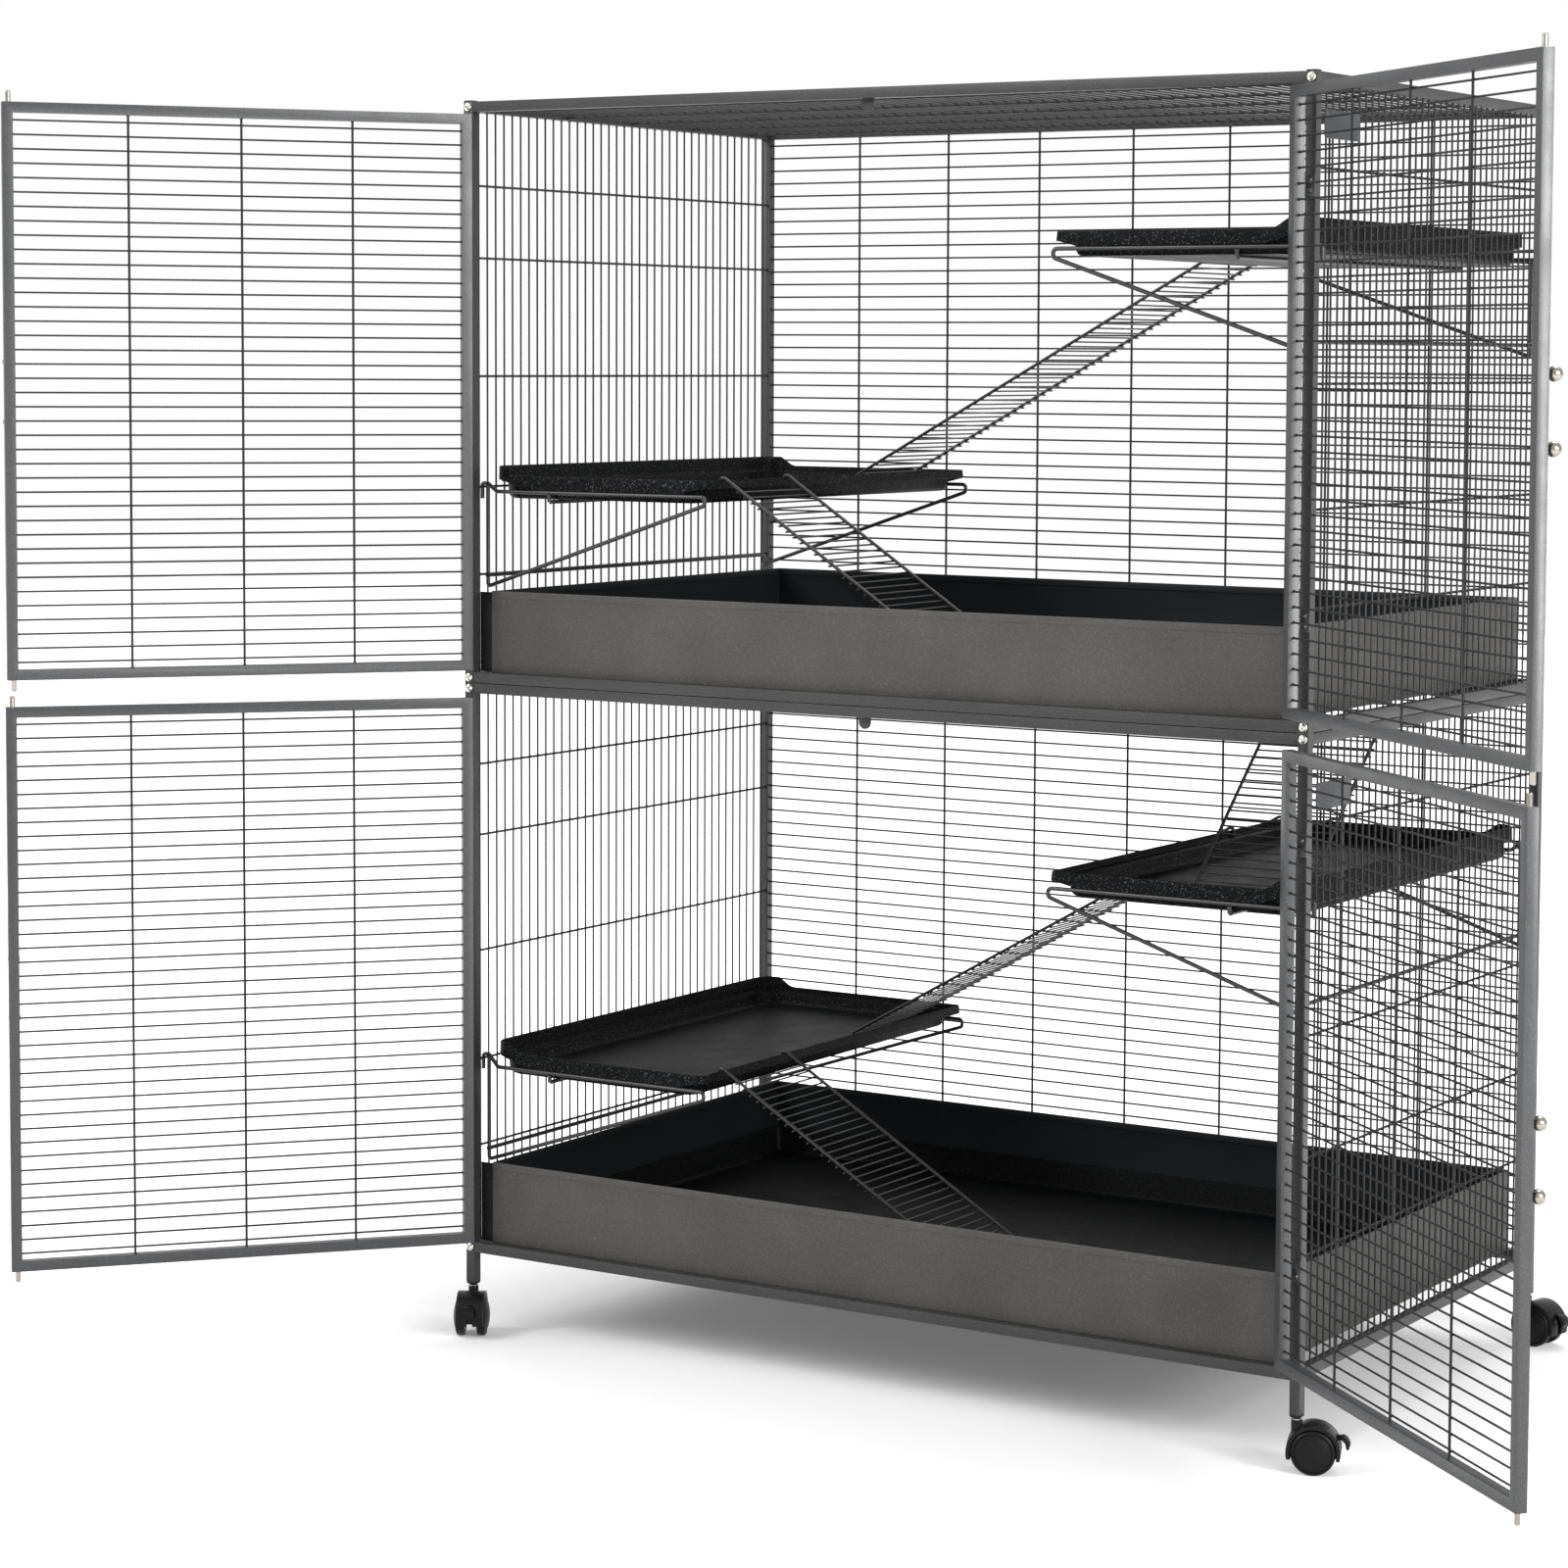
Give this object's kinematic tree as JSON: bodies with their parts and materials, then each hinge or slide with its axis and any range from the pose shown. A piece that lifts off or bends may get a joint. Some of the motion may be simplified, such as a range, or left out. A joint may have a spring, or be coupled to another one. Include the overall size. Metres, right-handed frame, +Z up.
{
  "type": "small animal cage",
  "caption": "Tall two-tier wire cage with double doors, shelf trays on wire supports, ladders, deep floor pans and twin-wheel casters.",
  "frame": {"origin": "floor point under the middle of the cage's frame, doors not counted", "axes": "+Z up, +X along the width to the right as seen from the doors, +Y from the doors to the back"},
  "size_m": [1.9415, 1.1397, 1.5316],
  "materials": {
    "frame_steel": "satin hammertone powder coat",
    "mesh_steel": "satin powder coat on wire",
    "door_steel": "satin hammertone powder coat",
    "pan_steel": "satin hammertone powder coat",
    "liner_plastic": "fine grained black",
    "tray_plastic": "pebbled black with a soft sheen",
    "support_steel": "satin powder coat on wire",
    "ladder_steel": "satin powder coat on wire",
    "cap_plastic": "smooth black",
    "bolt_nickel": "bright nickel plate",
    "rod_nickel": "bright nickel plate",
    "plate_steel": "flat dark grey",
    "hood_plastic": "smooth black with a sheen",
    "wheel_plastic": "smooth black"
  },
  "bodies": {
    "cage": {"post_fl": "frame_steel", "post_fr": "frame_steel", "post_bl": "frame_steel", "post_br": "frame_steel", "post_caps": "cap_plastic", "rails_1": "frame_steel", "rails_2": "frame_steel", "rails_3": "frame_steel", "rails_4": "frame_steel", "mesh_back_lower": "mesh_steel", "mesh_back_upper": "mesh_steel", "mesh_left_lower": "mesh_steel", "mesh_left_upper": "mesh_steel", "mesh_right_lower": "mesh_steel", "mesh_right_upper": "mesh_steel", "mesh_top": "mesh_steel", "side_plates": "plate_steel", "pan_lower": "pan_steel", "pan_upper": "pan_steel", "liner_lower": "liner_plastic", "liner_upper": "liner_plastic", "tray_ll": "tray_plastic", "tray_lr": "tray_plastic", "tray_ul": "tray_plastic", "tray_ur": "tray_plastic", "support_ll": "support_steel", "support_lr": "support_steel", "support_ul": "support_steel", "support_ur": "support_steel", "ladder_a": "ladder_steel", "ladder_b": "ladder_steel", "ladder_c": "ladder_steel", "ladder_d": "ladder_steel", "ladder_e": "ladder_steel", "frame_bolts": "bolt_nickel", "hinge_leaves": "frame_steel"},
    "door_ul": {"door_ul": "door_steel"},
    "rod_ul_top": {"rod_ul_top": "rod_nickel"},
    "rod_ul_bottom": {"rod_ul_bottom": "rod_nickel"},
    "door_ur": {"door_ur": "door_steel"},
    "rod_ur_top": {"rod_ur_top": "rod_nickel"},
    "rod_ur_bottom": {"rod_ur_bottom": "rod_nickel"},
    "door_ll": {"door_ll": "door_steel"},
    "rod_ll_top": {"rod_ll_top": "rod_nickel"},
    "rod_ll_bottom": {"rod_ll_bottom": "rod_nickel"},
    "door_lr": {"door_lr": "door_steel"},
    "rod_lr_top": {"rod_lr_top": "rod_nickel"},
    "rod_lr_bottom": {"rod_lr_bottom": "rod_nickel"},
    "hood_fl": {"hood_fl": "hood_plastic"},
    "wheels_fl": {"wheels_fl": "wheel_plastic"},
    "brake_fl": {"brake_fl": "hood_plastic"},
    "hood_fr": {"hood_fr": "hood_plastic"},
    "wheels_fr": {"wheels_fr": "wheel_plastic"},
    "brake_fr": {"brake_fr": "hood_plastic"},
    "hood_bl": {"hood_bl": "hood_plastic"},
    "wheels_bl": {"wheels_bl": "wheel_plastic"},
    "brake_bl": {"brake_bl": "hood_plastic"},
    "hood_br": {"hood_br": "hood_plastic"},
    "wheels_br": {"wheels_br": "wheel_plastic"},
    "brake_br": {"brake_br": "hood_plastic"}
  },
  "joints": [
    {"name": "hinge_ul", "type": "hinge", "parent": "cage", "child": "door_ul", "pos_m": [-0.5625, -0.3421, 1.17325], "axis": [0, 0, 1], "range_deg": [-45.7, 129.3]},
    {"name": "bolt_ul_top", "type": "slide", "parent": "door_ul", "child": "rod_ul_top", "axis": [0, 0, -1], "range_m": [0, 0.013]},
    {"name": "bolt_ul_bottom", "type": "slide", "parent": "door_ul", "child": "rod_ul_bottom", "axis": [0, 0, 1], "range_m": [0, 0.013]},
    {"name": "hinge_ur", "type": "hinge", "parent": "cage", "child": "door_ur", "pos_m": [0.5625, -0.3421, 1.17325], "axis": [0, 0, 1], "range_deg": [-140.4, 34.6]},
    {"name": "bolt_ur_top", "type": "slide", "parent": "door_ur", "child": "rod_ur_top", "axis": [0, 0, -1], "range_m": [0, 0.013]},
    {"name": "bolt_ur_bottom", "type": "slide", "parent": "door_ur", "child": "rod_ur_bottom", "axis": [0, 0, 1], "range_m": [0, 0.013]},
    {"name": "hinge_ll", "type": "hinge", "parent": "cage", "child": "door_ll", "pos_m": [-0.5625, -0.3421, 0.45875], "axis": [0, 0, 1], "range_deg": [-43.6, 131.4]},
    {"name": "bolt_ll_top", "type": "slide", "parent": "door_ll", "child": "rod_ll_top", "axis": [0, 0, -1], "range_m": [0, 0.013]},
    {"name": "bolt_ll_bottom", "type": "slide", "parent": "door_ll", "child": "rod_ll_bottom", "axis": [0, 0, 1], "range_m": [0, 0.013]},
    {"name": "hinge_lr", "type": "hinge", "parent": "cage", "child": "door_lr", "pos_m": [0.5625, -0.3421, 0.45875], "axis": [0, 0, 1], "range_deg": [-140.1, 34.9]},
    {"name": "bolt_lr_top", "type": "slide", "parent": "door_lr", "child": "rod_lr_top", "axis": [0, 0, -1], "range_m": [0, 0.013]},
    {"name": "bolt_lr_bottom", "type": "slide", "parent": "door_lr", "child": "rod_lr_bottom", "axis": [0, 0, 1], "range_m": [0, 0.013]},
    {"name": "swivel_fl", "type": "hinge", "parent": "cage", "child": "hood_fl", "pos_m": [-0.56875, -0.33125, 0.06], "axis": [0, 0, 1], "continuous": true},
    {"name": "spin_fl", "type": "hinge", "parent": "hood_fl", "child": "wheels_fl", "pos_m": [-0.55896, -0.34754, 0.025], "axis": [0.8572, 0.515, 0], "continuous": true},
    {"name": "brake_fl", "type": "hinge", "parent": "hood_fl", "child": "brake_fl", "pos_m": [-0.54969, -0.36296, 0.04], "axis": [0.8572, 0.515, 0], "range_deg": [0, 10]},
    {"name": "swivel_fr", "type": "hinge", "parent": "cage", "child": "hood_fr", "pos_m": [0.56875, -0.33125, 0.06], "axis": [0, 0, 1], "continuous": true},
    {"name": "spin_fr", "type": "hinge", "parent": "hood_fr", "child": "wheels_fr", "pos_m": [0.58637, -0.32413, 0.025], "axis": [-0.3746, 0.9272, 0], "continuous": true},
    {"name": "brake_fr", "type": "hinge", "parent": "hood_fr", "child": "brake_fr", "pos_m": [0.60306, -0.31739, 0.04], "axis": [-0.3746, 0.9272, 0], "range_deg": [0, 10]},
    {"name": "swivel_bl", "type": "hinge", "parent": "cage", "child": "hood_bl", "pos_m": [-0.56875, 0.33125, 0.06], "axis": [0, 0, 1], "continuous": true},
    {"name": "spin_bl", "type": "hinge", "parent": "hood_bl", "child": "wheels_bl", "pos_m": [-0.55017, 0.3273, 0.025], "axis": [0.2079, 0.9781, 0], "continuous": true},
    {"name": "brake_bl", "type": "hinge", "parent": "hood_bl", "child": "brake_bl", "pos_m": [-0.53256, 0.32356, 0.04], "axis": [0.2079, 0.9781, 0], "range_deg": [0, 10]},
    {"name": "swivel_br", "type": "hinge", "parent": "cage", "child": "hood_br", "pos_m": [0.56875, 0.33125, 0.06], "axis": [0, 0, 1], "continuous": true},
    {"name": "spin_br", "type": "hinge", "parent": "hood_br", "child": "wheels_br", "pos_m": [0.58734, 0.3273, 0.025], "axis": [0.2079, 0.9781, 0], "continuous": true},
    {"name": "brake_br", "type": "hinge", "parent": "hood_br", "child": "brake_br", "pos_m": [0.60494, 0.32356, 0.04], "axis": [0.2079, 0.9781, 0], "range_deg": [0, 10]}
  ]
}
